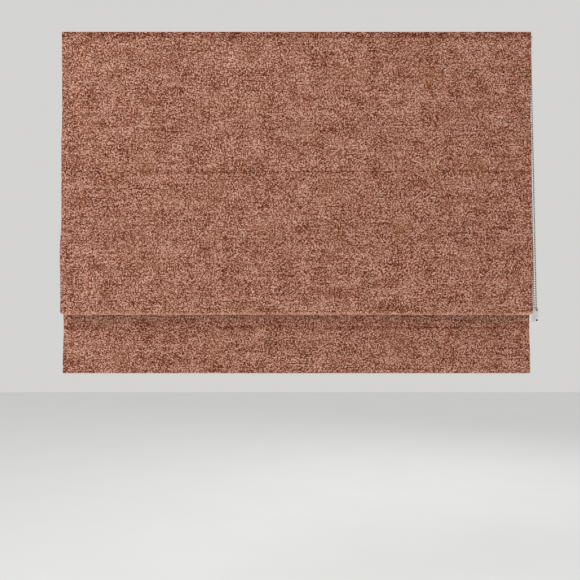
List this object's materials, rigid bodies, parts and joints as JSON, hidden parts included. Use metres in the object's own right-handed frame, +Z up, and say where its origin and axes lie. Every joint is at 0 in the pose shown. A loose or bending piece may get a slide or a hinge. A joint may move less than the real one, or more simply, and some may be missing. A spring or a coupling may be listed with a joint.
{
  "type": "roman blind",
  "caption": "Chain-driven roman blind in terracotta chenille, lowest pleat gathered up, with lined back, rods, cords, headrail, brackets and chain holder.",
  "frame": {"origin": "middle of the four bracket screw holes, on the wall's plane", "axes": "+X to the right along the headrail as seen from the room, +Y into the wall, +Z up"},
  "size_m": [1.2199, 0.0587, 0.876],
  "materials": {
    "face_cloth": "terracotta chenille weave",
    "lining_cloth": "ivory cotton sateen",
    "tape": "woven white tape",
    "cord": "braided polyester",
    "rail_paint": "white powder coat",
    "white_plastic": "moulded white",
    "clear_plastic": "milky moulded",
    "steel": "drawn bright steel",
    "aluminium": "mill finish",
    "chain_metal": "nickel plated",
    "fibreglass": "drawn glass fibre rod"
  },
  "bodies": {
    "headrail": {"headrail": "rail_paint", "end_cap": "white_plastic", "drive_housing": "white_plastic", "housing_cover": "white_plastic", "clutch_spring": "steel", "bracket_left": "rail_paint", "bracket_right": "rail_paint", "cord_cradle_1": "white_plastic", "cord_cradle_2": "white_plastic", "cord_cradle_3": "white_plastic", "hook_tape": "tape", "loop_tape": "tape", "face_fabric": "face_cloth", "lining": "lining_cloth", "lift_cord_1": "cord", "lift_cord_2": "cord", "lift_cord_3": "cord", "bead_chain": "chain_metal", "chain_connector": "chain_metal", "chain_holder": "clear_plastic"},
    "drive": {"drive_shaft": "steel", "shaft_bush": "white_plastic", "chain_wheel": "white_plastic", "cord_drum_1": "white_plastic", "cord_drum_2": "white_plastic", "cord_drum_3": "white_plastic", "cord_turns_1": "cord", "cord_turns_2": "cord", "cord_turns_3": "cord"},
    "upper_rod": {"rod_1": "fibreglass", "rod_tape_1": "tape", "rod_caps_1": "white_plastic", "cord_rings_1": "white_plastic"},
    "pleat_stack": {"rod_2": "fibreglass", "rod_tape_2": "tape", "rod_caps_2": "white_plastic", "cord_rings_2": "white_plastic", "rod_3": "fibreglass", "rod_tape_3": "tape", "rod_caps_3": "white_plastic", "cord_rings_3": "white_plastic", "bottom_bar": "aluminium", "bar_caps": "white_plastic", "cord_stops": "white_plastic"},
    "lever_left": {"lock_lever_left": "white_plastic"},
    "lever_right": {"lock_lever_right": "white_plastic"}
  },
  "joints": [
    {"name": "lift", "type": "slide", "parent": "headrail", "child": "pleat_stack", "axis": [0, 0, 1], "range_m": [0, 0.35736], "deforming": ["face_fabric", "lining", "lift_cord_1", "lift_cord_2", "lift_cord_3"]},
    {"name": "upper_rod_rise", "type": "slide", "parent": "headrail", "child": "upper_rod", "axis": [0, 0, 1], "range_m": [0, 0.1838]},
    {"name": "drive_turn", "type": "hinge", "parent": "headrail", "child": "drive", "pos_m": [0, -0.02, -0.0015], "axis": [1, 0, 0], "range_deg": [-2343, 0], "deforming": ["bead_chain"]},
    {"name": "lever_left_turn", "type": "hinge", "parent": "headrail", "child": "lever_left", "pos_m": [-0.45, -0.02, 0.017], "axis": [0, 0, 1], "range_deg": [-90, 0]},
    {"name": "lever_right_turn", "type": "hinge", "parent": "headrail", "child": "lever_right", "pos_m": [0.45, -0.02, 0.017], "axis": [0, 0, 1], "range_deg": [-90, 0]}
  ],
  "couplings": [
    {"joint": "upper_rod_rise", "follows": "lift", "ratio": 0.5088},
    {"joint": "drive_turn", "follows": "lift", "rad_per_m": -114.29}
  ]
}
